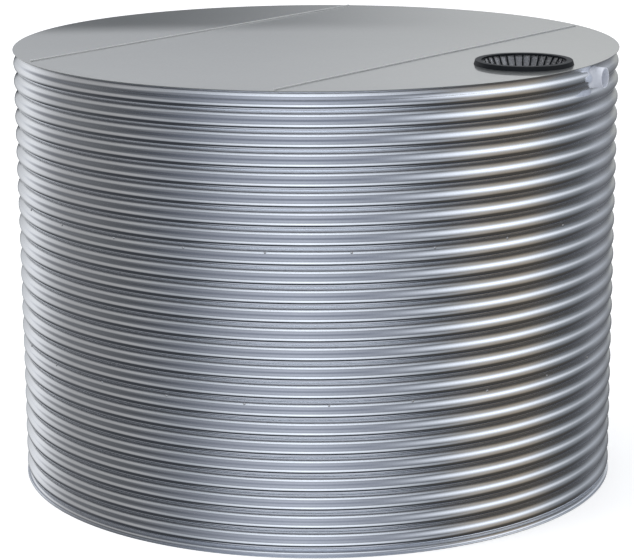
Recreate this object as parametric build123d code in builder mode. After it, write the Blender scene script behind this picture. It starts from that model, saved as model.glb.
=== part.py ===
from build123d import *
import os
from math import asin, cos, degrees, hypot, radians, sin, sqrt, tan

# Round corrugated steel water tank, millimetres, +Z up.
# The origin is the centre of the underside of the floor. The roof seams run along Y,
# the inlet strainer stands on +X and the outlet valve leaves the wall on -X.

# Corrugated wall
pitch = 76.2  # crest to crest
wave_depth = 16.5  # valley to crest
wave_count = 8  # corrugations in each strake
strake_count = 3
wall_sheet = 0.8
crest_radius = 1290.0  # outside of the top strake's crests
lap_gap = 0.1  # between lapped sheets, square to the flank
lap_edge_rise = 9.0  # lower edge of an upper sheet above the crest that it laps
flange_turn = 12.9  # mid-sheet radius of the turned-out end flanges
flange_flat = 3.0  # flat of the end flanges past the turn
top_straight = 5.4  # plain sheet between the top valley and its flange

# Floor and roof
floor_sheet = 1.2
roof_sheet = 1.0
hem_gap = 0.2  # around a flange held in a hem
hem_lip_gap = 0.4  # lip of a hem past the start of the flange's flat
floor_play = 0.8  # edge of the flange to the bottom of the floor's hem
roof_play = 1.8
seam_x = 631.5  # roof seam to the tank's axis
seam_height = 5.5
seam_gap = 0.2
seam_notch = 26.0  # seam end to the rim
stiffener_width = 60.0
stiffener_foot = 18.0
stiffener_depth = 30.0
stiffener_sheet = 1.2
stiffener_end = 42.0  # stiffener end to the rim
bead_width = 13.0
bead_height = 11.0

# Rivets
rivet_shank = 2.4
rivet_head = 5.0
rivet_dome = 2.2
rivet_tail = 3.8
rivet_tail_height = 1.5
rivet_clearance = 0.05
rivets_per_row = 24
row_azimuths = [9.0, 13.0]  # one rivet of the lower row and one of the upper row
lap_azimuths = [112.0, 146.0, 128.0]  # end lap of each strake, from the bottom
lap_width = 42.0

# Inlet strainer
strainer_rim = 41.3  # foot of the ring to the roof's rim
strainer_base = 202.0
strainer_top = 196.5
strainer_mouth = 171.0
strainer_height = 18.0
strainer_wall = 3.0
strainer_lip = 7.0
strainer_hole = 178.0
basket_depth = 100.0  # below the lip of the mouth
basket_floor = 113.0
rib_count = 32
rib_width = 6.0
rib_thickness = 4.0
floor_rib_count = 8
hub_radius = 16.0
mesh_thickness = 0.6
mesh_gap = 0.1
mesh_brim = 1.0  # brim of the mesh below the mouth's lip

# Overflow
overflow_azimuth = 8.5
pipe_radius = 41.3
pipe_wall = 2.9
pipe_stand = 37.0  # end of the stub outside the crests
pipe_back = 44.0  # its threaded tail inside the crests
pipe_clearance = 0.4
flare_stand = 13.0  # start of the flare outside the crests
flare_profile = [  # back from its start, swell to each side, swell up and down
    (0.0, 0.4, 0.4),
    (13.0, 2.2, 0.8),
    (22.0, 8.2, 2.6),
    (29.0, 17.5, 4.8),
    (35.0, 22.5, 6.0),
]
saddle_gap = 0.2
saddle_depth = 104.0  # depth of the blocks that cut a saddle, inside the crests
overflow_washer_radius = 54.0
overflow_washer = 4.0
overflow_nut = 14.0
overflow_nut_radius = 52.0
lug_count = 8
lug_width = 14.0
lug_stand = 2.0

# Outlet and its valve
outlet_azimuth = 180.0
outlet_crest = 2  # crest that the outlet goes through, from the bottom
outlet_bore = 12.5
thread_outer = 16.6
thread_inner = 15.15
thread_gap = 0.15
thread_chamfer = 1.0
thread_spare = 6.0  # thread past the backnut
outlet_washer_radius = 31.0
outlet_washer_face = 4.0
socket_flange = 30.0
socket_flange_thickness = 5.0
socket_hex = 25.5
socket_length = 21.0
inner_washer_pad = 5.5  # inner washer past the wall's ridges
backnut_hex = 27.0
backnut_length = 11.0
seat_gap = 0.3

# Ball valve, measured along the pipe from the ball's centre
ball_radius = 19.0
ball_gap = 0.15
body_radius = 24.0
body_neck = 19.5
body_collar = 2.0
body_shoulder = 6.0
tail_gap = 1.0  # end of the valve's tail to the end of the socket's thread
valve_hex = 23.5
valve_hex_length = 12.0
seat_outer = 17.3
seat_bore = 12.8
seat_start = 10.5
seat_end = 16.0
seat_stand = 1.0  # seat past the ends of its recess
cavity_radius = 19.8
body_back = 24.0
body_front = 19.0
cap_hex = 24.5
cap_radius = 22.0
cap_lip = 20.0
cap_collar = 8.0
outlet_thread_length = 15.0
boss_radius = 11.0
boss_base = 20.8
boss_top = 34.0
stem_radius = 5.0
stem_tip_radius = 4.0
stem_tip_spare = 2.0  # tip past its nut
stem_stand = 1.5  # stem's shoulder above the gland nut
stem_gap = 0.15
gland_hex = 10.0
gland_height = 7.0
tang_width = 6.0
tang_depth = 4.0
tang_length = 8.5
tang_gap = 0.2
tang_root = 2.0  # tang's root inside the stem
lever_sheet = 3.0
lever_width = 20.0
lever_head = 14.0
lever_bend = 18.0  # start of the step
lever_length = 118.0
lever_rise = 11.0
grip_length = 78.0
grip_wall = 2.5
grip_gap = 0.1
grip_round = 3.0
grip_end_round = 1.8
nut_hex = 8.0
nut_height = 6.0

# Sizes that follow from the ones above
wave_radius = ((pitch / 4) ** 2 + (wave_depth / 2) ** 2) / wave_depth
flank = degrees(asin(pitch / 4 / wave_radius))
lap_step = (wall_sheet + lap_gap) / cos(radians(flank))
top_strake = strake_count - 1
top_mid = crest_radius - (wave_depth + wall_sheet) / 2
strake_mid = [top_mid - lap_step * (top_strake - i) for i in range(strake_count)]
bottom_valley = floor_sheet + wall_sheet / 2 + flange_turn
top_wave = 2 * wave_count * strake_count
top_valley = bottom_valley + top_wave * pitch / 2
top_turn = top_valley + top_straight
roof_z = top_turn + flange_turn + wall_sheet / 2
roof_top = roof_z + roof_sheet
lap_edge_angle = degrees(asin(lap_edge_rise / wave_radius))
out = wall_sheet / 2
flange_start = [mid - wave_depth / 2 + flange_turn for mid in strake_mid]
floor_radius = flange_start[0] + flange_flat + floor_play + hem_gap + floor_sheet
roof_radius = flange_start[-1] + flange_flat + roof_play + hem_gap + roof_sheet
strainer_x = roof_radius - strainer_rim - strainer_base
pipe_end = crest_radius + pipe_stand
pipe_tail = crest_radius - pipe_back
flare_start = crest_radius + flare_stand
saddle_core = crest_radius - saddle_depth


def height_of(wave):
    """Height of a half wave: even ones are valleys, odd ones are crests."""
    return bottom_valley + wave * pitch / 2


def half_wave(mid, side, wave, start=-flank, end=flank):
    """One arc of the corrugation, offset outwards from the middle of the sheet by side."""
    if wave % 2:
        centre = (mid + wave_depth / 2 - wave_radius, height_of(wave))
        return CenterArc(centre, wave_radius + side, start, end - start)
    centre = (mid - wave_depth / 2 + wave_radius, height_of(wave))
    return CenterArc(centre, wave_radius - side, 180 - start, start - end)


def wave_run(mid, side, first, last, start, end):
    """A run of arcs, and the points where it begins and ends."""
    arcs = []
    for wave in range(first, last + 1):
        low = start if wave == first else -flank
        high = end if wave == last else flank
        arcs.append(half_wave(mid, side, wave, low, high))
    return arcs[0] @ 0, arcs[-1] @ 1


def end_flange(mid, side, height, direction):
    """The turn from a valley into the flat flange, upwards or downwards."""
    centre = (mid - wave_depth / 2 + flange_turn, height)
    turn = CenterArc(centre, flange_turn - side, 180, -90 * direction)
    edge = turn @ 1
    flat = Line(edge, edge + Vector(flange_flat, 0))
    return turn @ 0, flat @ 1


def section_plane(azimuth, height=0.0):
    """Upright plane through the tank's axis: x runs outwards and y upwards."""
    a = radians(azimuth)
    return Plane(origin=(0, 0, height), x_dir=(cos(a), sin(a), 0), z_dir=(sin(a), -cos(a), 0))


def facing_plane(azimuth, distance, height):
    """Plane square to a radius of the tank: x runs round it, y upwards and z outwards."""
    a = radians(azimuth)
    place = (distance * cos(a), distance * sin(a), height)
    return Plane(origin=place, x_dir=(-sin(a), cos(a), 0), z_dir=(cos(a), sin(a), 0))


def pipe_axis(azimuth, height):
    a = radians(azimuth)
    return Axis((0, 0, height), (cos(a), sin(a), 0))


def wall_block(mid, side, wave, far, azimuth, spread=10.0):
    """Solid between the wall's surface near one crest and an upright cylinder at far."""
    start = section_plane(azimuth - spread / 2)
    with BuildPart(mode=Mode.PRIVATE) as block:
        with BuildSketch(start):
            with BuildLine():
                low, high = wave_run(mid, side, wave - 2, wave + 2, -flank, flank)
                Polyline(low, (far, low.Y), (far, high.Y), high)
            make_face()
        revolve(axis=Axis.Z, revolution_arc=spread)
    return block.part


# Rivets: a domed head outside, a shank through both sheets and a tail inside
head_stand = rivet_head**2 / (2 * (wave_radius - 3 * out)) + rivet_clearance


def make_rivet(grip):
    tail_face = -grip - rivet_clearance
    with BuildPart(mode=Mode.PRIVATE) as rivet:
        with BuildSketch(Plane.XZ):
            with BuildLine():
                Polyline(
                    (0, head_stand + rivet_dome),
                    (0, tail_face - rivet_tail_height),
                    (rivet_tail, tail_face - rivet_tail_height),
                    (rivet_tail, tail_face),
                    (rivet_shank, tail_face),
                    (rivet_shank, head_stand),
                    (rivet_head, head_stand),
                )
                RadiusArc(
                    (rivet_head, head_stand),
                    (0, head_stand + rivet_dome),
                    -(rivet_head**2 + rivet_dome**2) / (2 * rivet_dome),
                )
            make_face()
        revolve(axis=Axis.Z)
    return rivet.part


def row_places(strake):
    """Rivet places round the valley where one strake laps over the strake below."""
    valley = strake_mid[strake] - wave_depth / 2 + out
    first = row_azimuths[strake - 1]
    step = 360 / rivets_per_row
    height = height_of(2 * wave_count * strake)
    return [facing_plane(first + i * step, valley, height) for i in range(rivets_per_row)]


def lap_places(strake):
    """Rivet places up the end lap of one strake, in its valleys."""
    valley = strake_mid[strake] - wave_depth / 2 + 3 * out
    low = 2 * wave_count * strake + 2
    middle = lap_azimuths[strake] + degrees(lap_width / 2 / strake_mid[strake])
    waves = range(low, low + 2 * wave_count - 2, 2)
    return [facing_plane(middle, valley, height_of(wave)) for wave in waves]


# Strakes: rings of corrugated sheet, each lapped over the outside of the one below
strake_names = ["lower_strake", "middle_strake", "upper_strake"]
strakes = []
for strake, mid in enumerate(strake_mid):
    first = 2 * wave_count * strake - 1 if strake else 0
    last = 2 * wave_count * (strake + 1)
    start = lap_edge_angle if strake else 0
    end = flank if strake < top_strake else 0
    with BuildPart() as ring:
        with BuildSketch(Plane.XZ):
            with BuildLine():
                ends = []
                for side in (-out, out):
                    low, high = wave_run(mid, side, first, last, start, end)
                    if strake == 0:
                        low = end_flange(mid, side, bottom_valley, -1)[1]
                    if strake == top_strake:
                        stop = end_flange(mid, side, top_turn, 1)
                        Line(high, stop[0])
                        high = stop[1]
                    ends.append((low, high))
                Line(ends[0][0], ends[1][0])
                Line(ends[0][1], ends[1][1])
            make_face()
        revolve(axis=Axis.Z)
        # the end of the sheet, lapped over its start
        lap_first = first if strake else 1
        lap_last = last - 2 if strake < top_strake else last - 1
        with BuildSketch(section_plane(lap_azimuths[strake])):
            with BuildLine():
                inner = wave_run(mid, 0, lap_first, lap_last, start if strake else -flank, flank)
                outer = wave_run(mid, 3 * out, lap_first, lap_last, start if strake else -flank, flank)
                Line(inner[0], outer[0])
                Line(inner[1], outer[1])
            make_face()
        revolve(axis=Axis.Z, revolution_arc=degrees(lap_width / mid))
        holes = lap_places(strake)
        if strake:
            holes += row_places(strake)
        if strake < top_strake:
            holes += row_places(strake + 1)
        with Locations(*holes):
            Cylinder(rivet_shank + rivet_clearance, wave_depth, mode=Mode.SUBTRACT)
        if strake == top_strake:
            with BuildSketch(facing_plane(overflow_azimuth, pipe_tail, height_of(top_wave - 1))):
                Circle(pipe_radius + pipe_clearance)
            extrude(amount=pipe_end - pipe_tail, mode=Mode.SUBTRACT)
        if strake == 0:
            outlet_height = height_of(2 * outlet_crest - 1)
            with BuildSketch(facing_plane(outlet_azimuth, pipe_tail, outlet_height)):
                Circle(thread_outer + pipe_clearance)
            extrude(amount=pipe_end - pipe_tail, mode=Mode.SUBTRACT)
    ring.part.label = strake_names[strake]
    strakes.append(ring.part)

# Rivet groups
row_rivet = make_rivet(lap_step + wall_sheet)
lap_rivet = make_rivet(2 * wall_sheet)

with BuildPart() as lower_lap_rivets:
    with Locations(*row_places(1)):
        add(row_rivet)
lower_lap_rivets.part.label = "lower_lap_rivets"

with BuildPart() as upper_lap_rivets:
    with Locations(*row_places(2)):
        add(row_rivet)
upper_lap_rivets.part.label = "upper_lap_rivets"

with BuildPart() as end_lap_rivets:
    with Locations(*lap_places(0), *lap_places(1), *lap_places(2)):
        add(lap_rivet)
end_lap_rivets.part.label = "end_lap_rivets"


def hem_outline(rim, sheet, level, lip_inner, direction):
    """Outline of a disc whose edge is folded round the wall's flange, up or down."""
    inner = level + direction * sheet
    lip_face = inner + direction * (wall_sheet + hem_gap)
    far = lip_face + direction * sheet
    nose = rim - abs(far - level) / 2
    fold = rim - sheet - hem_gap
    Polyline((nose, level), (0, level), (0, inner), (fold, inner), (fold, lip_face))
    Polyline((fold, lip_face), (lip_inner, lip_face), (lip_inner, far), (nose, far))
    ThreePointArc((nose, far), (rim, (far + level) / 2), (nose, level))


# Floor pan: a flat disc hemmed up round the lower strake's flange
with BuildPart() as floor_pan:
    with BuildSketch(Plane.XZ):
        with BuildLine():
            hem_outline(floor_radius, floor_sheet, 0, flange_start[0] + hem_lip_gap, 1)
        make_face()
    revolve(axis=Axis.Z)
floor_pan.part.label = "floor_pan"

# Sealant bead in the corner between the floor and the wall
with BuildPart() as floor_sealant:
    wall_inside = strake_mid[0] - wave_depth / 2 - out
    with BuildSketch(Plane.XZ):
        with BuildLine():
            toe = (wall_inside - bead_width, floor_sheet)
            heel = (wall_inside, floor_sheet)
            top = (wall_inside, floor_sheet + bead_height)
            Polyline(toe, heel, top, close=True)
        make_face()
    revolve(axis=Axis.Z)
floor_sealant.part.label = "floor_sealant"

# Roof: three panels of one hemmed disc, locked together along two standing seams
roof_lip = flange_start[-1] + hem_lip_gap
rib_half = sqrt(roof_radius**2 - seam_x**2) - seam_notch


def roof_disc(low, high):
    """The strip of the hemmed roof disc between two values of x."""
    with BuildPart(mode=Mode.PRIVATE) as disc:
        with BuildSketch(Plane.XZ):
            with BuildLine():
                hem_outline(roof_radius, roof_sheet, roof_top, roof_lip, -1)
            make_face()
        revolve(axis=Axis.Z)
        with BuildSketch(Plane.XY.offset(roof_z - seam_notch)):
            with Locations(((low + high) / 2, 0)):
                Rectangle(high - low, 3 * roof_radius)
        extrude(amount=2 * seam_notch, mode=Mode.INTERSECT)
    return disc.part


with BuildPart() as roof_panel_middle:
    add(roof_disc(-seam_x, seam_x))
    with BuildSketch(Plane.XZ):
        for side in (-1, 1):
            with Locations((side * (seam_x - roof_sheet / 2), roof_z)):
                Rectangle(
                    roof_sheet,
                    seam_height - seam_gap,
                    align=(Align.CENTER, Align.MIN),
                )
    extrude(amount=rib_half, both=True)
roof_panel_middle.part.label = "roof_panel_middle"


def side_panel(side):
    """An outer panel, with its edge folded over the middle panel's flange."""
    near = seam_x + seam_gap
    span = (near, 2 * roof_radius) if side > 0 else (-2 * roof_radius, -near)
    top = roof_top + seam_height
    cap_end = seam_x - roof_sheet - seam_gap
    with BuildPart(mode=Mode.PRIVATE) as panel:
        add(roof_disc(*span))
        with BuildSketch(Plane.XZ):
            with BuildLine():
                Polyline(
                    (side * near, roof_z),
                    (side * near, top - roof_sheet),
                    (side * cap_end, top - roof_sheet),
                    (side * cap_end, roof_top + seam_gap),
                    (side * (cap_end - roof_sheet), roof_top + seam_gap),
                    (side * (cap_end - roof_sheet), top),
                    (side * (near + roof_sheet), top),
                    (side * (near + roof_sheet), roof_z),
                    close=True,
                )
            make_face()
        extrude(amount=rib_half, both=True)
        if side > 0:
            with Locations((strainer_x, 0, roof_z)):
                Cylinder(strainer_hole, basket_depth, mode=Mode.SUBTRACT)
    return panel.part


with BuildPart() as roof_panel_left:
    add(side_panel(-1))
roof_panel_left.part.label = "roof_panel_left"

with BuildPart() as roof_panel_right:
    add(side_panel(1))
roof_panel_right.part.label = "roof_panel_right"


def make_stiffener(x):
    """Top-hat rail under a roof seam, from rim to rim."""
    reach = sqrt(roof_radius**2 - (abs(x) + stiffener_width / 2) ** 2) - stiffener_end
    half = stiffener_width / 2
    web = half - stiffener_foot
    s = stiffener_sheet
    with BuildPart(mode=Mode.PRIVATE) as rail:
        with BuildSketch(Plane.XZ.offset(-reach)):
            with BuildLine():
                outline = [
                    (-half, 0),
                    (-web, 0),
                    (-web, s - stiffener_depth),
                    (web, s - stiffener_depth),
                    (web, 0),
                    (half, 0),
                    (half, -s),
                    (web + s, -s),
                    (web + s, -stiffener_depth),
                    (-web - s, -stiffener_depth),
                    (-web - s, -s),
                    (-half, -s),
                ]
                Polyline(*[(x + u, roof_z + v) for u, v in outline], close=True)
            make_face()
        extrude(amount=2 * reach)
    return rail.part


with BuildPart() as roof_stiffener_left:
    add(make_stiffener(-seam_x))
roof_stiffener_left.part.label = "roof_stiffener_left"

with BuildPart() as roof_stiffener_right:
    add(make_stiffener(seam_x))
roof_stiffener_right.part.label = "roof_stiffener_right"

# Inlet strainer: a moulded ring that rests on the roof, with a tapered basket of ribs
lip_z = strainer_height - strainer_lip
floor_z = lip_z - basket_depth
taper = (strainer_mouth - basket_floor) / basket_depth
lean = hypot(1, taper)


def make_rib():
    """One upright rib of the basket, standing round an axis at the origin."""
    with BuildPart(mode=Mode.PRIVATE) as rib:
        with BuildSketch(Plane.XZ):
            with BuildLine():
                Polyline(
                    (strainer_mouth, lip_z + strainer_wall),
                    (strainer_mouth, lip_z),
                    (basket_floor, floor_z),
                    (basket_floor + rib_thickness, floor_z),
                    (strainer_mouth + rib_thickness - taper, lip_z),
                    (strainer_mouth + strainer_wall, lip_z + strainer_wall),
                    close=True,
                )
            make_face()
        extrude(amount=rib_width / 2, both=True)
    return rib.part


with BuildPart(mode=Mode.PRIVATE) as strainer_ring:
    with BuildSketch(Plane.XZ):
        with BuildLine():
            under = strainer_height - strainer_wall
            lean_in = (strainer_base - strainer_top) / strainer_height
            Polyline(
                (strainer_base, 0),
                (strainer_top, strainer_height),
                (strainer_mouth, strainer_height),
                (strainer_mouth, lip_z),
                (strainer_mouth + strainer_wall, lip_z),
                (strainer_mouth + strainer_wall, under),
                (strainer_base - strainer_wall - lean_in * under, under),
                (strainer_base - strainer_wall, 0),
                close=True,
            )
        make_face()
    revolve(axis=Axis.Z)
    fillet(strainer_ring.edges().group_by(Axis.Z)[-1], strainer_wall / 2)

with BuildPart() as strainer_basket:
    with Locations((strainer_x, 0, roof_top)):
        add(strainer_ring.part)
        with PolarLocations(0, rib_count):
            add(make_rib())
    # ring, spokes and hub of the basket's floor
    with BuildSketch(Plane.XY.offset(roof_top + floor_z)):
        with Locations((strainer_x, 0)):
            Circle(basket_floor + rib_thickness)
            Circle(basket_floor - rib_thickness, mode=Mode.SUBTRACT)
            Circle(hub_radius)
            with PolarLocations(basket_floor / 2, floor_rib_count):
                Rectangle(basket_floor, rib_width)
    extrude(amount=-rib_thickness)
strainer_basket.part.label = "strainer_basket"

# Woven mesh, outside the ribs and under the basket's floor
with BuildPart(mode=Mode.PRIVATE) as mesh_bag:
    with BuildSketch(Plane.XZ):
        with BuildLine():
            brim_z = lip_z - mesh_brim
            low_z = floor_z - rib_thickness - mesh_gap
            foot = basket_floor + rib_thickness + mesh_gap
            brim = foot + taper * (brim_z - low_z)
            skin = mesh_thickness * lean
            Polyline(
                (brim, brim_z),
                (foot, low_z),
                (0, low_z),
                (0, low_z - mesh_thickness),
                (foot + skin, low_z - mesh_thickness),
                (brim + skin, brim_z),
                close=True,
            )
        make_face()
    revolve(axis=Axis.Z)

with BuildPart() as strainer_mesh:
    with Locations((strainer_x, 0, roof_top)):
        add(mesh_bag.part)
strainer_mesh.part.label = "strainer_mesh"

# Overflow spigot: a plastic pipe stub whose foot flares into a saddle on the wall
overflow_height = height_of(top_wave - 1)
overflow_wall = wall_block(
    strake_mid[-1], out + saddle_gap, top_wave - 1, saddle_core, overflow_azimuth
)
with BuildPart() as overflow_spigot:
    for back, swell, rise in flare_profile:
        with BuildSketch(facing_plane(overflow_azimuth, flare_start - back, overflow_height)):
            Ellipse(pipe_radius + swell, pipe_radius + rise)
    loft()
    add(overflow_wall, mode=Mode.SUBTRACT)
    with BuildSketch(facing_plane(overflow_azimuth, pipe_tail, overflow_height)):
        Circle(pipe_radius)
    extrude(amount=pipe_end - pipe_tail)
    with BuildSketch(facing_plane(overflow_azimuth, pipe_tail, overflow_height)):
        Circle(pipe_radius - pipe_wall)
    extrude(amount=pipe_end - pipe_tail, mode=Mode.SUBTRACT)
overflow_spigot.part.label = "overflow_spigot"

# Gasket and backnut that clamp the spigot from inside, across two ridges of the wall
ridge = strake_mid[-1] - wave_depth / 2 - out
washer_chord = sqrt(overflow_washer_radius**2 - (pitch / 2) ** 2)
washer_face = sqrt(ridge**2 - washer_chord**2) - saddle_gap
with BuildPart() as overflow_gasket:
    with BuildSketch(facing_plane(overflow_azimuth, washer_face, overflow_height)):
        Circle(overflow_washer_radius)
        Circle(pipe_radius + pipe_clearance, mode=Mode.SUBTRACT)
    extrude(amount=-overflow_washer)
overflow_gasket.part.label = "overflow_gasket"

with BuildPart() as overflow_backnut:
    nut_face = washer_face - overflow_washer
    with BuildSketch(facing_plane(overflow_azimuth, nut_face, overflow_height)):
        Circle(overflow_nut_radius)
        with PolarLocations(overflow_nut_radius, lug_count):
            Rectangle(2 * lug_stand, lug_width)
        Circle(pipe_radius + thread_gap, mode=Mode.SUBTRACT)
    extrude(amount=-overflow_nut)
overflow_backnut.part.label = "overflow_backnut"

# Outlet: a threaded brass socket through a crest low on the wall
outlet_axis = pipe_axis(outlet_azimuth, outlet_height)
outlet_side = section_plane(outlet_azimuth, outlet_height)
outlet_crest_out = strake_mid[0] + wave_depth / 2 + out
outlet_crest_in = strake_mid[0] + wave_depth / 2 - out
outer_face = outlet_crest_out + outlet_washer_face
inner_face = outlet_crest_in - wave_depth - inner_washer_pad

with BuildPart() as outlet_washer_outer:
    with BuildSketch(facing_plane(outlet_azimuth, outer_face, outlet_height)):
        Circle(outlet_washer_radius)
        Circle(thread_outer + pipe_clearance, mode=Mode.SUBTRACT)
    extrude(amount=-outlet_washer_face - wave_depth)
    outlet_wave = 2 * outlet_crest - 1
    add(
        wall_block(strake_mid[0], out + saddle_gap, outlet_wave, saddle_core, outlet_azimuth),
        mode=Mode.SUBTRACT,
    )
outlet_washer_outer.part.label = "outlet_washer_outer"

with BuildPart() as outlet_washer_inner:
    with BuildSketch(facing_plane(outlet_azimuth, inner_face, outlet_height)):
        Circle(outlet_washer_radius)
        Circle(thread_outer + pipe_clearance, mode=Mode.SUBTRACT)
    extrude(amount=outlet_crest_in - inner_face)
    add(
        wall_block(strake_mid[0], -out - saddle_gap, outlet_wave, pipe_end, outlet_azimuth),
        mode=Mode.SUBTRACT,
    )
outlet_washer_inner.part.label = "outlet_washer_inner"

socket_end = outer_face + socket_length + socket_flange_thickness
tail_end = inner_face - backnut_length - thread_spare
with BuildPart() as outlet_socket:
    with BuildSketch(outlet_side):
        with BuildLine():
            Polyline(
                (tail_end, outlet_bore),
                (tail_end, thread_outer - thread_chamfer),
                (tail_end + thread_chamfer, thread_outer),
                (outer_face, thread_outer),
                (outer_face, socket_flange),
                (outer_face + socket_flange_thickness, socket_flange),
                (outer_face + socket_flange_thickness, thread_outer),
                (socket_end, thread_outer),
                (socket_end, thread_inner),
                (socket_end - outlet_thread_length, thread_inner),
                (socket_end - outlet_thread_length, outlet_bore),
                close=True,
            )
        make_face()
    revolve(axis=outlet_axis)
    hex_start = outer_face + socket_flange_thickness
    with BuildSketch(facing_plane(outlet_azimuth, hex_start, outlet_height)):
        RegularPolygon(socket_hex, 6)
        Circle((thread_inner + thread_outer) / 2, mode=Mode.SUBTRACT)
    extrude(amount=socket_length)
outlet_socket.part.label = "outlet_socket"

with BuildPart() as outlet_backnut:
    with BuildSketch(facing_plane(outlet_azimuth, inner_face, outlet_height)):
        RegularPolygon(backnut_hex, 6)
        Circle(thread_outer + thread_gap, mode=Mode.SUBTRACT)
    extrude(amount=-backnut_length)
outlet_backnut.part.label = "outlet_backnut"

# Ball valve
inlet_face = socket_end + seat_gap
ball_u = inlet_face + valve_hex_length + body_back
ball_centre = facing_plane(outlet_azimuth, ball_u, outlet_height).origin


def above_ball(rise):
    """Level plane above the ball's centre, square to the stem."""
    return Plane(ball_centre, x_dir=(1, 0, 0), z_dir=(0, 0, 1)).offset(rise)


with BuildPart() as valve_body:
    with BuildSketch(outlet_side):
        with BuildLine():
            tip = socket_end - outlet_thread_length + tail_gap
            Polyline(
                (tip, outlet_bore),
                (tip, thread_inner - thread_gap),
                (inlet_face + body_collar, thread_inner - thread_gap),
                (inlet_face + body_collar, body_neck),
                (inlet_face + valve_hex_length, body_neck),
                (ball_u - body_back + body_shoulder, body_radius),
                (ball_u + body_front, body_radius),
                (ball_u + body_front, cavity_radius),
                (ball_u - seat_start + seat_stand, cavity_radius),
                (ball_u - seat_start + seat_stand, seat_outer + thread_gap),
                (ball_u - seat_end - seat_gap, seat_outer + thread_gap),
                (ball_u - seat_end - seat_gap, outlet_bore),
                close=True,
            )
        make_face()
    revolve(axis=outlet_axis)
    with BuildSketch(facing_plane(outlet_azimuth, inlet_face, outlet_height)):
        RegularPolygon(valve_hex, 6)
        Circle((outlet_bore + thread_inner) / 2, mode=Mode.SUBTRACT)
    extrude(amount=valve_hex_length)
    with BuildSketch(above_ball(boss_base)):
        Circle(boss_radius)
    extrude(amount=boss_top - boss_base)
    with BuildSketch(above_ball(0)):
        Circle(stem_radius + stem_gap)
    extrude(amount=boss_top, mode=Mode.SUBTRACT)
valve_body.part.label = "valve_body"

with BuildPart() as valve_end_cap:
    cap_face = ball_u + body_front + seat_gap
    cap_end = cap_face + valve_hex_length + cap_collar
    with BuildSketch(outlet_side):
        with BuildLine():
            Polyline(
                (ball_u + seat_start - seat_stand, seat_outer + thread_gap),
                (ball_u + seat_start - seat_stand, cavity_radius - thread_gap),
                (cap_face, cavity_radius - thread_gap),
                (cap_face, cap_radius),
                (cap_end, cap_lip),
                (cap_end, thread_inner),
                (cap_end - outlet_thread_length, thread_inner),
                (cap_end - outlet_thread_length, outlet_bore),
                (ball_u + seat_end + seat_gap, outlet_bore),
                (ball_u + seat_end + seat_gap, seat_outer + thread_gap),
                close=True,
            )
        make_face()
    revolve(axis=outlet_axis)
    with BuildSketch(facing_plane(outlet_azimuth, cap_face, outlet_height)):
        RegularPolygon(cap_hex, 6)
        Circle((thread_inner + cap_lip) / 2, mode=Mode.SUBTRACT)
    extrude(amount=valve_hex_length)
valve_end_cap.part.label = "valve_end_cap"

with BuildPart() as valve_seats:
    cup = ball_radius + ball_gap
    with BuildSketch(outlet_side):
        for side in (-1, 1):
            inner_reach = sqrt(cup**2 - seat_bore**2)
            with BuildLine():
                rim = (ball_u + side * seat_start, sqrt(cup**2 - seat_start**2))
                throat = (ball_u + side * inner_reach, seat_bore)
                Polyline(
                    throat,
                    (ball_u + side * seat_end, seat_bore),
                    (ball_u + side * seat_end, seat_outer),
                    (ball_u + side * seat_start, seat_outer),
                    rim,
                )
                RadiusArc(rim, throat, side * cup)
            make_face()
    revolve(axis=outlet_axis)
valve_seats.part.label = "valve_seats"

# The ball stands closed: its bore lies across the pipe
with BuildPart() as valve_ball:
    with Locations(ball_centre):
        Sphere(ball_radius)
    with BuildSketch(Plane.XZ.offset(-ball_radius)):
        with Locations((ball_centre.X, ball_centre.Z)):
            Circle(outlet_bore)
    extrude(amount=2 * ball_radius, mode=Mode.SUBTRACT)
    with BuildSketch(above_ball(ball_radius - tang_depth)):
        Rectangle(2 * ball_radius, tang_width)
    extrude(amount=tang_depth, mode=Mode.SUBTRACT)
valve_ball.part.label = "valve_ball"

lever_z = boss_top + gland_height + stem_stand
with BuildPart() as valve_stem:
    with BuildSketch(above_ball(ball_radius + stem_gap)):
        Circle(stem_radius)
    extrude(amount=lever_z - ball_radius - stem_gap)
    with BuildSketch(above_ball(lever_z)):
        Circle(stem_tip_radius)
    extrude(amount=lever_sheet + nut_height + stem_tip_spare)
    with BuildSketch(above_ball(ball_radius - tang_depth + tang_gap)):
        Rectangle(tang_length, tang_width - 2 * tang_gap)
    extrude(amount=tang_depth + tang_root)
valve_stem.part.label = "valve_stem"

with BuildPart() as gland_nut:
    with BuildSketch(above_ball(boss_top)):
        RegularPolygon(gland_hex, 6)
        Circle(stem_radius + stem_gap, mode=Mode.SUBTRACT)
    extrude(amount=gland_height)
gland_nut.part.label = "gland_nut"

# Lever of bent strip, shut across the pipe towards +Y
stem_x = ball_centre.X
fold = lever_sheet * tan(radians(22.5))
arm_start = lever_bend
arm_end = lever_length
with BuildPart() as valve_lever:
    low = ball_centre.Z + lever_z
    high = low + lever_rise
    with BuildSketch(Plane.YZ.offset(stem_x)):
        with BuildLine():
            Polyline(
                (-lever_head, low),
                (arm_start, low),
                (arm_start + lever_rise, high),
                (arm_end, high),
                (arm_end, high + lever_sheet),
                (arm_start + lever_rise - fold, high + lever_sheet),
                (arm_start - fold, low + lever_sheet),
                (-lever_head, low + lever_sheet),
                close=True,
            )
        make_face()
    extrude(amount=lever_head, both=True)
    with BuildSketch(Plane.XY.offset(low - lever_sheet)):
        with Locations((stem_x, 0)):
            Circle(lever_head)
            with Locations((0, arm_end / 2)):
                Rectangle(lever_width, arm_end)
    extrude(amount=lever_rise + 3 * lever_sheet, mode=Mode.INTERSECT)
    with Locations((stem_x, 0, low)):
        Cylinder(stem_tip_radius + stem_gap, 3 * lever_sheet, mode=Mode.SUBTRACT)
valve_lever.part.label = "valve_lever"

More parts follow.
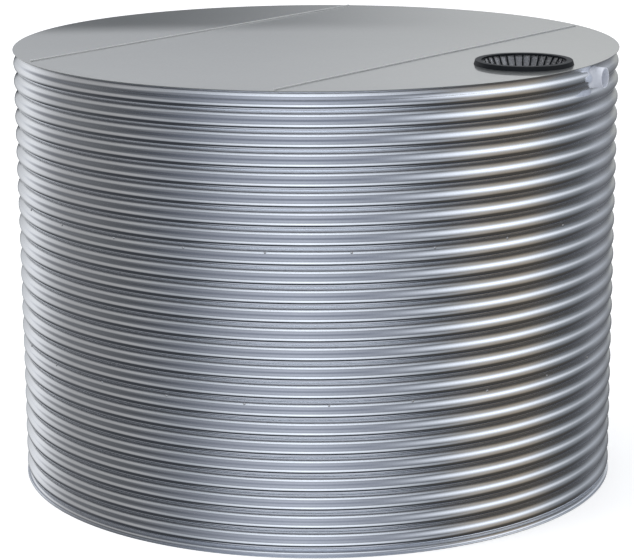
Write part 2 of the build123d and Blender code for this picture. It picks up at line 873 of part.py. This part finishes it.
with BuildPart() as lever_grip:
    grip_start = arm_end - grip_length
    grip_skin = grip_gap + grip_wall
    middle = high + lever_sheet / 2
    with BuildSketch(Plane.XZ.offset(-grip_start)):
        with Locations((stem_x, middle)):
            RectangleRounded(lever_width + 2 * grip_skin, lever_sheet + 2 * grip_skin, grip_round)
    extrude(amount=-grip_length - grip_skin)
    fillet(lever_grip.edges().group_by(Axis.Y)[-1], grip_end_round)
    with BuildSketch(Plane.XZ.offset(-grip_start)):
        with Locations((stem_x, middle)):
            Rectangle(lever_width + 2 * grip_gap, lever_sheet + 2 * grip_gap)
    extrude(amount=-grip_length - grip_gap, mode=Mode.SUBTRACT)
lever_grip.part.label = "lever_grip"

with BuildPart() as lever_nut:
    with BuildSketch(above_ball(lever_z + lever_sheet)):
        RegularPolygon(nut_hex, 6)
        Circle(stem_tip_radius + stem_gap, mode=Mode.SUBTRACT)
    extrude(amount=nut_height)
lever_nut.part.label = "lever_nut"

pieces = [
    floor_pan.part,
    floor_sealant.part,
    *strakes,
    lower_lap_rivets.part,
    upper_lap_rivets.part,
    end_lap_rivets.part,
    roof_panel_left.part,
    roof_panel_middle.part,
    roof_panel_right.part,
    roof_stiffener_left.part,
    roof_stiffener_right.part,
    strainer_basket.part,
    strainer_mesh.part,
    overflow_spigot.part,
    overflow_gasket.part,
    overflow_backnut.part,
    outlet_washer_outer.part,
    outlet_washer_inner.part,
    outlet_socket.part,
    outlet_backnut.part,
    valve_body.part,
    valve_end_cap.part,
    valve_seats.part,
    valve_ball.part,
    valve_stem.part,
    gland_nut.part,
    valve_lever.part,
    lever_grip.part,
    lever_nut.part,
]
os.makedirs("parts", exist_ok=True)
for piece in pieces:
    export_step(piece, f"parts/{piece.label}.step")
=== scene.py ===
from math import asin, cos, pi, radians, sin

import bmesh
import bpy
from mathutils import Matrix, Vector


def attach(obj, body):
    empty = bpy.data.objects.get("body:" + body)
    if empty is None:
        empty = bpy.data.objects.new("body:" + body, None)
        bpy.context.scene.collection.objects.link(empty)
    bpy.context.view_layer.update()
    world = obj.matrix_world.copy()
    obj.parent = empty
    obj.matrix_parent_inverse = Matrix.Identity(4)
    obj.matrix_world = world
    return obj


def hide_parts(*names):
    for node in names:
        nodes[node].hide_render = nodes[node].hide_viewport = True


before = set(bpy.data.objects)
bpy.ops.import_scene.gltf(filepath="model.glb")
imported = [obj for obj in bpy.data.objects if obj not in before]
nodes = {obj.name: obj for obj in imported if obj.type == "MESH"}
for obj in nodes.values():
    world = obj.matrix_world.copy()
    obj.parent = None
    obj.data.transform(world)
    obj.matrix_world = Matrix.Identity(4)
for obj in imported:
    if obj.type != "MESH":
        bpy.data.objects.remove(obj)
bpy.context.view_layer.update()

# Camera: a long lens, standing well back and a little above the roof, as such a
# tank is photographed in a yard. Its place was fitted to the rims, ridges and seams.
camera_turn = radians(37.0)
camera_tilt = radians(76.205)
camera_roll = radians(-0.2685)
camera_place = Vector((6.078, -8.066, 3.2953))

lens = bpy.data.cameras.new("camera")
lens.sensor_width = 36.0
lens.lens = 134.41
camera = bpy.data.objects.new("camera", lens)
turn = Matrix.Rotation(camera_turn, 4, "Z")
tilt = Matrix.Rotation(camera_tilt, 4, "X")
roll = Matrix.Rotation(camera_roll, 4, "Z")
camera.matrix_world = Matrix.Translation(camera_place) @ turn @ tilt @ roll
bpy.context.scene.collection.objects.link(camera)
bpy.context.scene.camera = camera

# Studio: white behind the tank, and round it the lit and dark patches that bright
# rolled sheet mirrors. Sheet steel shows little of its own, so these carry its look.
# A dark card low behind the tank puts the dark band across the far roof.
view_settings = bpy.context.scene.view_settings
view_settings.view_transform = "Standard"
studio = bpy.data.worlds.new("studio")
studio.use_nodes = True
bpy.context.scene.world = studio
sky = studio.node_tree
sky.nodes.clear()


def math_node(tree, kind, first, second=None):
    """A Math node on sockets or numbers, and its output."""
    node = tree.nodes.new("ShaderNodeMath")
    node.operation = kind
    for slot_index, value in enumerate((first, second)):
        if value is None:
            continue
        if isinstance(value, (int, float)):
            node.inputs[slot_index].default_value = value
        else:
            tree.links.new(value, node.inputs[slot_index])
    return node.outputs[0]


def smooth_step(tree, value, low, high):
    """0 below low and 1 above high, with a soft change between them."""
    node = tree.nodes.new("ShaderNodeMapRange")
    node.interpolation_type = "SMOOTHSTEP"
    node.inputs["From Min"].default_value = low
    node.inputs["From Max"].default_value = high
    tree.links.new(value, node.inputs["Value"])
    return node.outputs["Result"]


def mix_colour(tree, factor, first, second):
    """A colour between two sockets or colours."""
    node = tree.nodes.new("ShaderNodeMix")
    node.data_type = "RGBA"
    tree.links.new(factor, node.inputs["Factor"])
    for name, value in (("A", first), ("B", second)):
        slot_in = [s for s in node.inputs if s.name == name and s.type == "RGBA"][0]
        if isinstance(value, tuple):
            slot_in.default_value = (*value, 1.0)
        else:
            tree.links.new(value, slot_in)
    return [s for s in node.outputs if s.type == "RGBA"][0]


look = sky.nodes.new("ShaderNodeTexCoord")
split = sky.nodes.new("ShaderNodeSeparateXYZ")
sky.links.new(look.outputs["Generated"], split.inputs["Vector"])
height = math_node(sky, "ARCSINE", split.outputs["Z"])


def patch_cover(turn_to, half_width, soft_across, low, high, soft_up):
    """1 inside a soft-edged patch of the studio. Angles are in degrees, from the camera's side."""
    spin = sky.nodes.new("ShaderNodeMapping")
    spin.inputs["Rotation"].default_value = (0, 0, radians(90 - turn_to) - camera_turn)
    sky.links.new(look.outputs["Generated"], spin.inputs["Vector"])
    parts = sky.nodes.new("ShaderNodeSeparateXYZ")
    sky.links.new(spin.outputs["Vector"], parts.inputs["Vector"])
    aside = math_node(sky, "ARCTAN2", parts.outputs["Y"], parts.outputs["X"])
    aside = math_node(sky, "ABSOLUTE", aside)
    fade = radians(soft_across) / 2
    across = smooth_step(sky, aside, radians(half_width) + fade, radians(half_width) - fade)
    fade = radians(soft_up) / 2
    above = smooth_step(sky, height, radians(low) - fade, radians(low) + fade)
    below = smooth_step(sky, height, radians(high) + fade, radians(high) - fade)
    return math_node(sky, "MULTIPLY", math_node(sky, "MULTIPLY", above, below), across)


def add_light(behind, cover, colour):
    """Adds a light's colour to what is behind it, wherever it covers that."""
    blend = sky.nodes.new("ShaderNodeVectorMath")
    blend.operation = "MULTIPLY_ADD"
    sky.links.new(cover, blend.inputs[0])
    blend.inputs[1].default_value = colour
    sky.links.new(behind, blend.inputs[2])
    return blend.outputs["Vector"]


overhead = smooth_step(sky, height, radians(40), radians(80))
patches = mix_colour(sky, overhead, (0.043, 0.046, 0.052), (0.22, 0.24, 0.29))
for *patch, colour in (
    (-4, 34, 90, -22, 11, 16, (1.15, 1.20, 1.27)),  # front wall of light
    (-8, 38, 90, 16, 62, 30, (0.46, 0.48, 0.54)),  # and its dimmer upper part
    (-105, 45, 34, -16, 19, 20, (0.33, 0.32, 0.31)),  # left
    (-105, 45, 34, 22, 44, 20, (0.07, 0.07, 0.07)),  # left, high
    (-125, 22, 30, -90, 60, 20, (0.035, 0.035, 0.035)),  # left, faint, down to the floor
    (-158, 34, 40, -18, 14, 14, (0.46, 0.47, 0.48)),  # behind, to the left
    (180, 40, 60, 10, 70, 12, (0.14, 0.15, 0.18)),  # behind, high
    (165, 12, 12, -6, 34, 16, (0.22, 0.22, 0.20)),  # behind, to the right
    (142, 14, 16, -30, 34, 20, (0.09, 0.09, 0.095)),  # right, towards the back
    (180, 14, 8, 8.3, 34, 1.6, (0.14, 0.14, 0.14)),  # behind, lights the nearer roof
    (126, 64, 80, 32, 66, 38, (1.24, 1.28, 1.34)),  # right, a high bright box
    (104, 50, 24, -4, 34, 44, (0.22, 0.23, 0.24)),  # right
    (74, 20, 22, -14, 26, 18, (0.15, 0.10, 0.04)),  # right, warm
    (84, 36, 30, -46, -14, 16, (0.025, 0.015, 0.0)),  # right, warm floor
    (-5, 54, 30, -78, -52, 8, (0.56, 0.58, 0.64)),  # floor in front
    (180, 90, 60, -110, -66, 20, (0.20, 0.22, 0.26)),  # floor behind
):
    patches = add_light(patches, patch_cover(*patch), colour)
dark_card = patch_cover(-172, 8, 10, -12, 7.7, 0.3)
patches = mix_colour(sky, dark_card, patches, (0.02, 0.025, 0.03))

path = sky.nodes.new("ShaderNodeLightPath")
fill = (0.85, 0.86, 0.88)
light = mix_colour(sky, path.outputs["Is Diffuse Ray"], patches, fill)
light = mix_colour(sky, path.outputs["Is Camera Ray"], light, (1.0, 1.0, 1.0))
backdrop = sky.nodes.new("ShaderNodeBackground")
sky.links.new(light, backdrop.inputs["Color"])
world_out = sky.nodes.new("ShaderNodeOutputWorld")
sky.links.new(backdrop.outputs["Background"], world_out.inputs["Surface"])

lamp_data = bpy.data.lights.new("soft_lamp", "AREA")
lamp_data.shape = "DISK"
lamp_data.size = 5.0
lamp_data.energy = 180.0
lamp = bpy.data.objects.new("soft_lamp", lamp_data)
lamp_place = Vector((-2.5, -5.5, 7.0))
aim = Vector((0, 0, 1.0)) - lamp_place
lamp_turn = aim.to_track_quat("-Z", "Y").to_matrix().to_4x4()
lamp.matrix_world = Matrix.Translation(lamp_place) @ lamp_turn
lamp.visible_glossy = False
bpy.context.scene.collection.objects.link(lamp)

# Floor: a plain white sheet under the tank that keeps its shadow.
floor_half = 30.0


def new_object(name, mesh_builder):
    """An object at the origin from a bmesh."""
    mesh = bpy.data.meshes.new(name)
    mesh_builder.to_mesh(mesh)
    mesh_builder.free()
    piece = bpy.data.objects.new(name, mesh)
    bpy.context.scene.collection.objects.link(piece)
    return piece


def principled(name, colour, metallic, roughness):
    """A material and the handles to its node tree."""
    made = bpy.data.materials.new(name)
    made.use_nodes = True
    shader = made.node_tree.nodes["Principled BSDF"]
    shader.inputs["Base Color"].default_value = (*colour, 1.0)
    shader.inputs["Metallic"].default_value = metallic
    shader.inputs["Roughness"].default_value = roughness
    return made, made.node_tree, shader


sheet = bmesh.new()
bmesh.ops.create_grid(sheet, x_segments=1, y_segments=1, size=floor_half)
floor = new_object("floor", sheet)
floor.visible_glossy = False
floor_paint, tree, shader = principled("floor_paint", (0.9, 0.9, 0.9), 0.0, 0.9)
ray = tree.nodes.new("ShaderNodeLightPath")
glow = tree.nodes.new("ShaderNodeEmission")
glow.inputs["Strength"].default_value = 0.42
both = tree.nodes.new("ShaderNodeAddShader")
tree.links.new(shader.outputs["BSDF"], both.inputs[0])
tree.links.new(glow.outputs["Emission"], both.inputs[1])
pick = tree.nodes.new("ShaderNodeMixShader")
tree.links.new(ray.outputs["Is Camera Ray"], pick.inputs["Fac"])
tree.links.new(shader.outputs["BSDF"], pick.inputs[1])
tree.links.new(both.outputs["Shader"], pick.inputs[2])
tree.links.new(pick.outputs["Shader"], tree.nodes["Material Output"].inputs["Surface"])
floor.data.materials.append(floor_paint)

# Floor pan: the tank's flat steel floor, its edge folded up round the wall's bottom
# flange. Coated sheet with a faint spangle, which the whole tank is made of.


def paint(material, *names):
    """Gives CAD nodes a material."""
    for name in names:
        nodes[name].data.materials.clear()
        nodes[name].data.materials.append(material)


def noise(tree, vector, scale, detail=2.0, roughness=0.5):
    node = tree.nodes.new("ShaderNodeTexNoise")
    node.inputs["Scale"].default_value = scale
    node.inputs["Detail"].default_value = detail
    node.inputs["Roughness"].default_value = roughness
    tree.links.new(vector, node.inputs["Vector"])
    return node.outputs["Fac"]


def bump(tree, shader, height_socket, distance, strength=1.0):
    node = tree.nodes.new("ShaderNodeBump")
    node.inputs["Distance"].default_value = distance
    node.inputs["Strength"].default_value = strength
    tree.links.new(height_socket, node.inputs["Height"])
    tree.links.new(node.outputs["Normal"], shader.inputs["Normal"])


def spread(tree, value, low, high):
    """A 0 to 1 value spread between two numbers."""
    node = tree.nodes.new("ShaderNodeMapRange")
    node.inputs["To Min"].default_value = low
    node.inputs["To Max"].default_value = high
    tree.links.new(value, node.inputs["Value"])
    return node.outputs["Result"]


def finish(name, dark, pale, metallic, smooth, rough, grain, depth=0.0):
    """A surface whose shade, gloss and relief vary with a grain of so many to the metre."""
    made, tree, shader = principled(name, pale, metallic, rough)
    place = tree.nodes.new("ShaderNodeTexCoord").outputs["Object"]
    fine = noise(tree, place, grain, 3.0, 0.6)
    broad = noise(tree, place, grain / 12, 2.0, 0.5)
    tree.links.new(mix_colour(tree, broad, dark, pale), shader.inputs["Base Color"])
    tree.links.new(spread(tree, fine, smooth, rough), shader.inputs["Roughness"])
    if depth:
        bump(tree, shader, fine, depth)
    return made


pan_steel = finish(
    "pan_steel", (0.80, 0.83, 0.87), (0.88, 0.90, 0.94), 1.0, 0.14, 0.26, 120.0,
)
paint(pan_steel, "floor_pan")

# Sealant: a grey bead of soft sealant, run by hand into the corner between the floor
# and the wall, so its skin is a little uneven.
sealant = finish(
    "sealant", (0.55, 0.56, 0.57), (0.64, 0.65, 0.65), 0.0, 0.42, 0.6, 60.0, 0.0008,
)
paint(sealant, "floor_sealant")

# Wall: three rings of bright rolled corrugated sheet, each lapped over the one
# below. Rolling leaves fine lines round the sheet, a sharper gloss on the crests than
# in the valleys, and the coating a faint spangle.


def round_the_wall(tree, along, upright):
    """Vector of distance round the tank and height, each times its own scale."""
    place = tree.nodes.new("ShaderNodeTexCoord")
    parts = tree.nodes.new("ShaderNodeSeparateXYZ")
    tree.links.new(place.outputs["Object"], parts.inputs["Vector"])
    turn_round = math_node(tree, "ARCTAN2", parts.outputs["Y"], parts.outputs["X"])
    joined = tree.nodes.new("ShaderNodeCombineXYZ")
    tree.links.new(math_node(tree, "MULTIPLY", turn_round, along), joined.inputs["X"])
    tree.links.new(math_node(tree, "MULTIPLY", parts.outputs["Z"], upright), joined.inputs["Y"])
    return joined.outputs["Vector"]


pitch = 0.0762
wave_depth = 0.0165
wave_radius = ((pitch / 4) ** 2 + (wave_depth / 2) ** 2) / wave_depth
flank = asin(pitch / 4 / wave_radius)
wall_sheet = 0.0008
crest_radius = 1.290
lap_step = 0.0009 / cos(flank)
lap_edge = asin(0.009 / wave_radius)
bottom_valley = 0.0145
top_straight = 0.0054
flange_turn = 0.0129
flange_flat = 0.003
waves_each = 16
outlet_hole = 0.017
overflow_hole = 0.0417
overflow_turn = radians(8.5)
steps_round = 192
steps_in_wave = 12
steps_in_turn = 6


def bend_on(outline, tip, centre, angle, steps):
    """Bends the outline on round a centre, seen from the tank's side; the new tip."""
    bent = bmesh.ops.spin(
        outline, geom=[tip], cent=(centre[0], 0, centre[1]), axis=(0, -1, 0),
        angle=angle, steps=steps, use_duplicate=False,
    )
    return bent["geom_last"][0]


def draw_strake(strake, offset):
    """The sheet's line from its lower edge to its upper, moved outwards by offset."""
    middle = crest_radius - (wave_depth + wall_sheet) / 2 - lap_step * (2 - strake)
    valley_centre = middle - wave_depth / 2 + wave_radius
    crest_centre = middle + wave_depth / 2 - wave_radius
    first = waves_each * strake - 1 if strake else 0
    last = waves_each * (strake + 1)
    outline = bmesh.new()
    if strake:
        start = (crest_centre, bottom_valley + first * pitch / 2)
        reach = wave_radius + offset
        edge = (start[0] + reach * cos(lap_edge), 0, start[1] + reach * sin(lap_edge))
        tip = outline.verts.new(edge)
        tip = bend_on(outline, tip, start, flank - lap_edge, steps_in_wave)
        first += 1
    else:
        turn_centre = (middle - wave_depth / 2 + flange_turn, bottom_valley)
        low = bottom_valley - flange_turn + offset
        edge = outline.verts.new((turn_centre[0] + flange_flat, 0, low))
        tip = outline.verts.new((turn_centre[0], 0, low))
        outline.edges.new((edge, tip))
        tip = bend_on(outline, tip, turn_centre, -pi / 2, steps_in_turn)
        tip = bend_on(outline, tip, (valley_centre, bottom_valley), -flank, steps_in_wave // 2)
        first += 1
    for wave in range(first, last):
        height_here = bottom_valley + wave * pitch / 2
        if wave % 2:
            tip = bend_on(outline, tip, (crest_centre, height_here), 2 * flank, steps_in_wave)
        else:
            tip = bend_on(outline, tip, (valley_centre, height_here), -2 * flank, steps_in_wave)
    top = bottom_valley + last * pitch / 2
    if strake < 2:
        bend_on(outline, tip, (valley_centre, top), -2 * flank, steps_in_wave)
    else:
        tip = bend_on(outline, tip, (valley_centre, top), -flank, steps_in_wave // 2)
        straight = outline.verts.new(tip.co + Vector((0, 0, top_straight)))
        outline.edges.new((tip, straight))
        turn_centre = (middle - wave_depth / 2 + flange_turn, top + top_straight)
        tip = bend_on(outline, straight, turn_centre, -pi / 2, steps_in_turn)
        edge = outline.verts.new(tip.co + Vector((flange_flat, 0, 0)))
        outline.edges.new((tip, edge))
    return outline


def face_out(shell):
    """Turns the faces of an open sheet round the tank to its outside."""
    bmesh.ops.recalc_face_normals(shell, faces=shell.faces)
    shell.faces.ensure_lookup_table()
    outward = sum(
        face.normal.x * face.calc_center_median().x + face.normal.y * face.calc_center_median().y
        for face in shell.faces
    )
    if outward < 0:
        bmesh.ops.reverse_faces(shell, faces=shell.faces)


def finish_mesh(piece, sharp_angle):
    """Makes a piece's modifiers part of its mesh, and shades it smooth but for sharp edges."""
    graph = bpy.context.evaluated_depsgraph_get()
    finished = bpy.data.meshes.new_from_object(piece.evaluated_get(graph))
    piece.modifiers.clear()
    piece.data = finished
    finished.shade_smooth()
    finished.set_sharp_from_angle(angle=sharp_angle)


def add_cutter(piece, turn_to, height_here, radius):
    """Cuts a round hole through the wall, square to it."""
    drill = bmesh.new()
    bmesh.ops.create_cone(
        drill, cap_ends=True, segments=64, radius1=radius, radius2=radius, depth=0.2,
        matrix=Matrix.Rotation(turn_to, 4, "Z")
        @ Matrix.Translation((crest_radius, 0, height_here))
        @ Matrix.Rotation(pi / 2, 4, "Y"),
    )
    cutter = new_object("cutter", drill)
    cut = piece.modifiers.new("hole", "BOOLEAN")
    cut.operation = "DIFFERENCE"
    cut.object = cutter
    return cutter


strakes = []
for strake, name in enumerate(("lower_strake", "middle_strake", "upper_strake")):
    shell = draw_strake(strake, 0.0)
    bmesh.ops.spin(
        shell, geom=shell.verts[:] + shell.edges[:], cent=(0, 0, 0), axis=(0, 0, 1),
        angle=2 * pi, steps=steps_round, use_merge=True, use_duplicate=False,
    )
    bmesh.ops.remove_doubles(shell, verts=shell.verts, dist=1e-6)
    face_out(shell)
    piece = new_object(name.replace("strake", "ring"), shell)
    thick = piece.modifiers.new("sheet", "SOLIDIFY")
    thick.thickness = wall_sheet
    thick.offset = 0.0
    thick.use_even_offset = True
    cutter = None
    if strake == 0:
        cutter = add_cutter(piece, pi, bottom_valley + 3 * pitch / 2, outlet_hole)
    if strake == 2:
        overflow_height = bottom_valley + 47 * pitch / 2
        cutter = add_cutter(piece, overflow_turn, overflow_height, overflow_hole)
    finish_mesh(piece, radians(40))
    if cutter:
        bpy.data.objects.remove(cutter)
    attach(piece, "tank")
    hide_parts(name)
    strakes.append(piece)


def under_crest(tree):
    """1 in the upper half of each valley and 0 on the crests."""
    place = tree.nodes.new("ShaderNodeTexCoord")
    parts = tree.nodes.new("ShaderNodeSeparateXYZ")
    tree.links.new(place.outputs["Object"], parts.inputs["Vector"])
    up = math_node(tree, "SUBTRACT", parts.outputs["Z"], bottom_valley + 0.008)
    swing = math_node(tree, "COSINE", math_node(tree, "MULTIPLY", up, 2 * pi / pitch))
    return smooth_step(tree, swing, 0.55, 0.95)


wall_steel, tree, shader = principled("wall_steel", (0.84, 0.87, 0.92), 1.0, 0.16)
streaks = noise(tree, round_the_wall(tree, 2.0, 260.0), 1.0, 3.0, 0.6)
blur = math_node(tree, "MULTIPLY", under_crest(tree), 0.7)
blur = math_node(tree, "ADD", blur, math_node(tree, "MULTIPLY", streaks, 0.3))
tree.links.new(spread(tree, blur, 0.07, 0.34), shader.inputs["Roughness"])
sag = noise(tree, round_the_wall(tree, 9.0, 14.0), 1.0, 2.0, 0.4)
bump(tree, shader, sag, 0.002, 0.04)
place = tree.nodes.new("ShaderNodeTexCoord").outputs["Object"]
spangle = tree.nodes.new("ShaderNodeTexVoronoi")
spangle.inputs["Scale"].default_value = 160.0
tree.links.new(place, spangle.inputs["Vector"])
shade = tree.nodes.new("ShaderNodeSeparateColor")
tree.links.new(spangle.outputs["Color"], shade.inputs["Color"])
tone = math_node(tree, "MULTIPLY", shade.outputs["Red"], 0.35)
tone = math_node(tree, "ADD", tone, math_node(tree, "MULTIPLY", streaks, 0.65))
tint = mix_colour(tree, tone, (0.80, 0.83, 0.88), (0.88, 0.91, 0.96))
tree.links.new(tint, shader.inputs["Base Color"])
for piece in strakes:
    piece.data.materials.clear()
    piece.data.materials.append(wall_steel)

# End laps: each ring's sheet goes on past its own start, and this last strip of it
# lies over the outside, riveted through the valleys.
lap_width = 0.042
lap_turns = (radians(112), radians(146), radians(128))
lap_low = (bottom_valley + pitch / 4, 0.0, 0.0)
lap_high = (14.5, 30.5, 47.5)
for strake, turn_to in enumerate(lap_turns):
    strip = draw_strake(strake, wall_sheet)
    high = bottom_valley + lap_high[strake] * pitch / 2
    for level, way in ((lap_low[strake], -1), (high, 1)):
        bmesh.ops.bisect_plane(
            strip, geom=strip.verts[:] + strip.edges[:], dist=1e-7,
            plane_co=(0, 0, level), plane_no=(0, 0, way), clear_outer=True,
        )
    to_lap = Matrix.Rotation(turn_to, 3, "Z")
    bmesh.ops.rotate(strip, verts=strip.verts, cent=(0, 0, 0), matrix=to_lap)
    bmesh.ops.spin(
        strip, geom=strip.verts[:] + strip.edges[:], cent=(0, 0, 0), axis=(0, 0, 1),
        angle=lap_width / crest_radius, steps=3, use_duplicate=False,
    )
    bmesh.ops.remove_doubles(strip, verts=strip.verts, dist=1e-6)
    face_out(strip)
    piece = new_object(f"end_lap_{strake + 1}", strip)
    thick = piece.modifiers.new("sheet", "SOLIDIFY")
    thick.thickness = wall_sheet
    thick.offset = 0.0
    thick.use_even_offset = True
    finish_mesh(piece, radians(40))
    piece.data.materials.clear()
    piece.data.materials.append(wall_steel)
    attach(piece, "tank")

# Rivets: sealed aluminium rivets, one every 15 degrees round each lap and seven up
# each end lap, with a domed head outside and the set tail inside.
rivet_metal = finish(
    "rivet_metal", (0.78, 0.79, 0.81), (0.88, 0.89, 0.91), 1.0, 0.2, 0.34, 400.0,
)
paint(rivet_metal, "lower_lap_rivets", "upper_lap_rivets", "end_lap_rivets")

# Roof rails: two top-hat rails of thicker galvanised sheet under the seams, which
# carry the flat roof.
rail_steel = finish(
    "rail_steel", (0.55, 0.56, 0.58), (0.68, 0.69, 0.71), 1.0, 0.28, 0.42, 90.0,
)
paint(rail_steel, "roof_stiffener_left", "roof_stiffener_right")

# Roof: three flat sheets of satin steel, hemmed over the wall and locked together
# along two standing seams, whose tops are painted pale and less metallic as a painted
# highlight along each seam. The thin clear coat keeps a sharper sheen at a low angle.
seam_foot = 1.8633
roof_steel, tree, shader = principled("roof_steel", (0.34, 0.35, 0.34), 0.7, 0.3)
shader.inputs["Coat Weight"].default_value = 0.9
shader.inputs["Coat Roughness"].default_value = 0.005
place = tree.nodes.new("ShaderNodeTexCoord").outputs["Object"]
fine = noise(tree, place, 90.0, 3.0, 0.6)
tree.links.new(spread(tree, fine, 0.26, 0.34), shader.inputs["Roughness"])
broad = noise(tree, place, 3.0, 2.0, 0.5)
tint = mix_colour(tree, broad, (0.32, 0.33, 0.32), (0.36, 0.37, 0.36))
parts = tree.nodes.new("ShaderNodeSeparateXYZ")
tree.links.new(place, parts.inputs["Vector"])
# Painted highlight: above the seams' foot the sheet is made pale and almost non-metallic, to show
# the light caught on the seams' tops.
seam_painted_highlight = smooth_step(tree, parts.outputs["Z"], seam_foot, seam_foot + 0.0005)
tree.links.new(mix_colour(tree, seam_painted_highlight, tint, (0.88, 0.89, 0.89)), shader.inputs["Base Color"])
tree.links.new(spread(tree, seam_painted_highlight, 0.7, 0.1), shader.inputs["Metallic"])
paint(roof_steel, "roof_panel_left", "roof_panel_middle", "roof_panel_right")

# Strainer basket: a ring and a tapered basket of ribs, moulded in one piece of black
# plastic with a fine matt skin. It only rests in the roof's hole.
black_moulding = finish(
    "black_moulding", (0.006, 0.008, 0.011), (0.010, 0.012, 0.016), 0.0, 0.42, 0.6, 900.0, 0.0002,
)
moulded_skin = black_moulding.node_tree.nodes["Principled BSDF"]
moulded_skin.inputs["Specular IOR Level"].default_value = 0.25
paint(black_moulding, "strainer_basket")

# Strainer mesh: a bag of plain woven steel wire round the basket's ribs, with upright
# wires that pass in and out of the hoops, and crossed wires under its floor.
mesh_axis = (1.0487, 0.0)
mesh_brim_z = 1.8730
mesh_floor_z = 1.7698
mesh_foot = 0.1176
mesh_taper = 0.58
wire = 0.00036
wire_step = 0.0022
upright_wires = 200
hoop_count = int((mesh_brim_z - mesh_floor_z) / (wire_step * 0.865))


def wire_radius(level):
    return mesh_foot + mesh_taper * (level - mesh_floor_z)


mesh_depth = mesh_brim_z - mesh_floor_z
levels = [mesh_brim_z - mesh_depth * i / hoop_count for i in range(hoop_count + 1)]
cloth = bmesh.new()
for level in levels:
    bmesh.ops.create_circle(
        cloth, segments=3, radius=wire,
        matrix=Matrix.Translation((wire_radius(level), 0, level)) @ Matrix.Rotation(pi / 2, 4, "X"),
    )
bmesh.ops.spin(
    cloth, geom=cloth.verts[:] + cloth.edges[:], cent=(0, 0, 0), axis=(0, 0, 1),
    angle=2 * pi, steps=72, use_merge=True, use_duplicate=False,
)
for phase in (0, 1):
    upright = bmesh.new()
    turned = Matrix.Rotation(pi * phase / upright_wires, 4, "Z")
    start = Matrix.Translation((wire_radius(levels[0]) + wire, 0, levels[0]))
    bmesh.ops.create_circle(upright, segments=3, radius=wire, matrix=start)
    tip = upright.edges[:]
    for i, level in enumerate(levels[1:], 1):
        run = bmesh.ops.extrude_edge_only(upright, edges=tip)["geom"]
        tip = [part for part in run if isinstance(part, bmesh.types.BMEdge)]
        moved = [part for part in run if isinstance(part, bmesh.types.BMVert)]
        side = wire if (i + phase) % 2 == 0 else -wire
        last = wire if (i - 1 + phase) % 2 == 0 or i == 1 else -wire
        out_by = wire_radius(level) + side - wire_radius(levels[i - 1]) - last
        bmesh.ops.translate(upright, verts=moved, vec=(out_by, 0, level - levels[i - 1]))
    bmesh.ops.spin(
        upright, geom=upright.verts[:] + upright.edges[:] + upright.faces[:], cent=(0, 0, 0),
        axis=(0, 0, 1), angle=2 * pi * (upright_wires - 1) / upright_wires,
        steps=upright_wires - 1, use_duplicate=True,
    )
    bmesh.ops.transform(upright, matrix=turned, verts=upright.verts)
    made = bpy.data.meshes.new("uprights")
    upright.to_mesh(made)
    upright.free()
    cloth.from_mesh(made)
    bpy.data.meshes.remove(made)
rows = int(mesh_foot / wire_step)
for row in range(-rows, rows + 1):
    across = row * wire_step
    span = 2 * (mesh_foot ** 2 - across ** 2) ** 0.5
    for quarter in (0, 1):
        lie = Matrix.Rotation(quarter * pi / 2, 4, "Z")
        low = Matrix.Translation((0, across, mesh_floor_z - wire * quarter))
        bmesh.ops.create_cone(
            cloth, cap_ends=True, segments=3, radius1=wire, radius2=wire, depth=span,
            matrix=lie @ low @ Matrix.Rotation(pi / 2, 4, "Y"),
        )
bmesh.ops.translate(cloth, verts=cloth.verts, vec=(*mesh_axis, 0))
bmesh.ops.recalc_face_normals(cloth, faces=cloth.faces)
woven = new_object("strainer_cloth", cloth)
mesh_steel = finish(
    "mesh_steel", (0.74, 0.75, 0.78), (0.88, 0.89, 0.92), 0.6, 0.35, 0.5, 300.0,
)
woven.data.materials.append(mesh_steel)
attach(woven, "tank")
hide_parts("strainer_mesh")

# Overflow: a pale moulded pipe stub whose foot flares into a saddle on the wall, held
# from inside by a big lugged nut of the same plastic.
pale_pipe = finish(
    "pale_pipe", (0.72, 0.75, 0.83), (0.79, 0.82, 0.89), 0.0, 0.32, 0.45, 200.0, 0.0002,
)
paint(pale_pipe, "overflow_spigot", "overflow_backnut")

# Gaskets: rings of black rubber, cut from sheet and squeezed between the fittings and
# the wall.
gasket_rubber = finish(
    "gasket_rubber", (0.018, 0.018, 0.019), (0.032, 0.032, 0.033), 0.0, 0.5, 0.7, 500.0, 0.0003,
)
paint(gasket_rubber, "overflow_gasket", "outlet_washer_outer", "outlet_washer_inner")

# Outlet: a turned brass socket through a crest low on the wall, with its backnut, and
# the valve's stem and gland nut of the same brass.
brass = finish(
    "brass", (0.62, 0.44, 0.21), (0.76, 0.57, 0.30), 1.0, 0.2, 0.34, 350.0, 0.0001,
)
paint(brass, "outlet_socket", "outlet_backnut", "valve_stem", "gland_nut")

# Valve body: a hot-pressed brass body and screwed end cap, both plated, so the
# pressed skin shows under the plating.
valve_plating = finish(
    "valve_plating", (0.58, 0.56, 0.52), (0.72, 0.70, 0.66), 1.0, 0.22, 0.38, 450.0, 0.0003,
)
paint(valve_plating, "valve_body", "valve_end_cap")

# Valve ball and seats: a polished chromed ball, which turns between two rings of
# smooth white plastic.
ball_chrome = finish(
    "ball_chrome", (0.72, 0.73, 0.75), (0.80, 0.81, 0.83), 1.0, 0.04, 0.1, 200.0,
)
paint(ball_chrome, "valve_ball")
seat_plastic = finish(
    "seat_plastic", (0.82, 0.82, 0.80), (0.90, 0.90, 0.88), 0.0, 0.35, 0.5, 300.0,
)
paint(seat_plastic, "valve_seats")

# Lever: pressed steel strap, zinc plated, bolted to the stem by its nut, with a dipped
# sleeve of near-black vinyl for the hand.
lever_steel = finish(
    "lever_steel", (0.60, 0.61, 0.62), (0.74, 0.75, 0.76), 1.0, 0.26, 0.42, 260.0,
)
paint(lever_steel, "valve_lever", "lever_nut")
grip_vinyl = finish(
    "grip_vinyl", (0.022, 0.022, 0.026), (0.036, 0.036, 0.041), 0.0, 0.36, 0.5, 150.0, 0.0004,
)
paint(grip_vinyl, "lever_grip")
